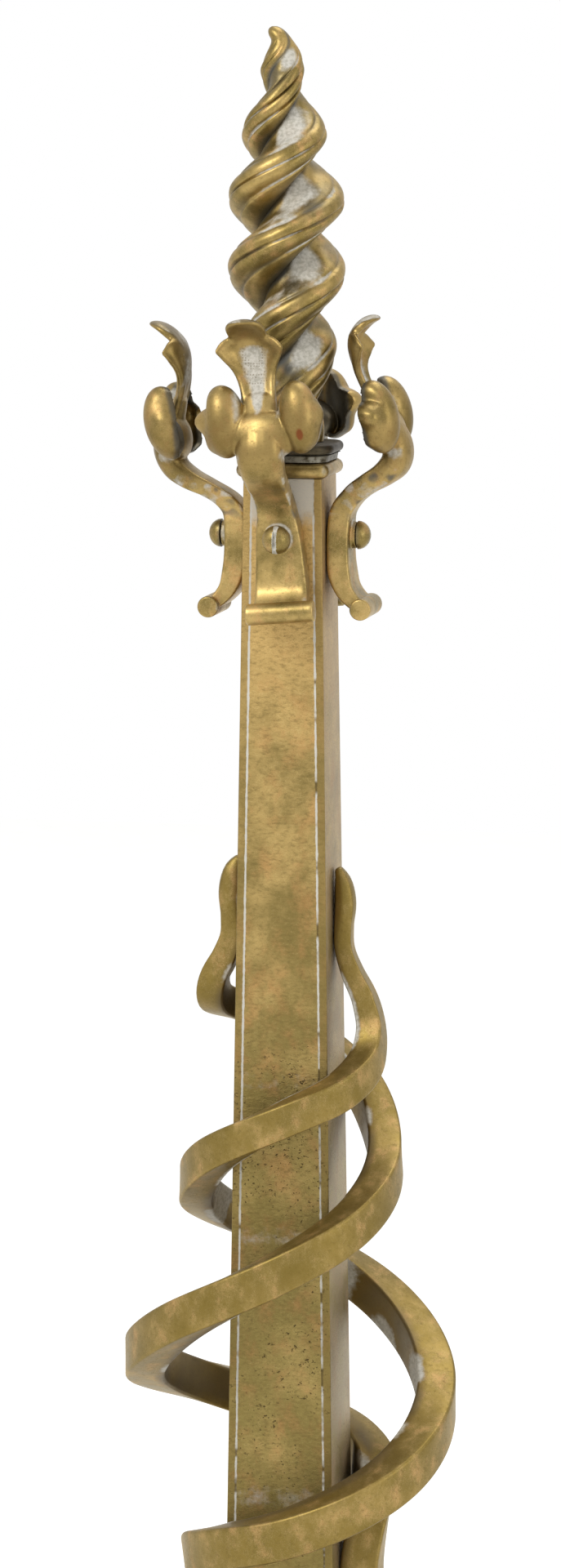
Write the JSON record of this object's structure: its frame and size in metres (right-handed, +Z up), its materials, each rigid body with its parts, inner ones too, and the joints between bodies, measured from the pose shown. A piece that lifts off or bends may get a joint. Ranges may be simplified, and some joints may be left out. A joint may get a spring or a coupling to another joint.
{
  "type": "andiron",
  "caption": "Tall brass andiron: tapered square upright with twisted flame finial, leaf brackets and wound tendrils, curved front legs and a low iron billet bar.",
  "frame": {"origin": "on the floor, under the middle of the whole andiron's bounding box; the upright's axis stands 178 mm in front of it", "axes": "+Z up, -Y is the front that faces the room, +Y runs back along the billet bar into the fireplace, +X is to the right seen from the front"},
  "size_m": [0.3108, 0.4638, 0.762],
  "materials": {
    "column_brass": "aged sheet brass, brushed, mottled, white polish left in the seams",
    "bracket_brass": "cast brass, polished on the high places",
    "screw_brass": "turned brass, worn",
    "cap_brass": "cast brass, dull on top",
    "flame_brass": "cast brass, polished ridges and chalky hollows",
    "tendril_brass": "wrought brass bar, smooth, olive and orange tones",
    "base_brass": "cast brass, aged",
    "leg_brass": "wrought brass bar, aged",
    "wrought_iron": "forged and fire-blackened, a little rust",
    "rod_iron": "plain drawn iron",
    "dark_steel": "dull, oiled"
  },
  "bodies": {
    "root": {"column_plate_left": "column_brass", "column_plate_right": "column_brass", "column_plate_front": "column_brass", "column_plate_back": "column_brass", "cap_bead": "cap_brass", "cap_plate": "cap_brass", "finial_flame": "flame_brass", "bracket_left": "bracket_brass", "bracket_right": "bracket_brass", "bracket_front": "bracket_brass", "bracket_back": "bracket_brass", "bracket_roll_left": "bracket_brass", "bracket_roll_right": "bracket_brass", "bracket_roll_front": "bracket_brass", "bracket_roll_back": "bracket_brass", "bracket_screw_left": "screw_brass", "bracket_screw_right": "screw_brass", "bracket_screw_front": "screw_brass", "bracket_screw_back": "screw_brass", "tendril_left": "tendril_brass", "tendril_right": "tendril_brass", "tendril_screw_left": "screw_brass", "tendril_screw_right": "screw_brass", "base_collar": "base_brass", "base_block": "base_brass", "leg_left": "leg_brass", "leg_right": "leg_brass", "leg_bolt_left": "screw_brass", "leg_bolt_right": "screw_brass", "foot_pad_left": "leg_brass", "foot_pad_right": "leg_brass", "tie_rod": "rod_iron", "rod_washer": "dark_steel", "rod_nut": "dark_steel", "billet_bar": "wrought_iron", "billet_bolt": "dark_steel", "rear_leg": "wrought_iron", "rear_leg_rivet": "wrought_iron", "rear_foot_pad": "wrought_iron", "log_stop": "wrought_iron"}
  },
  "joints": []
}
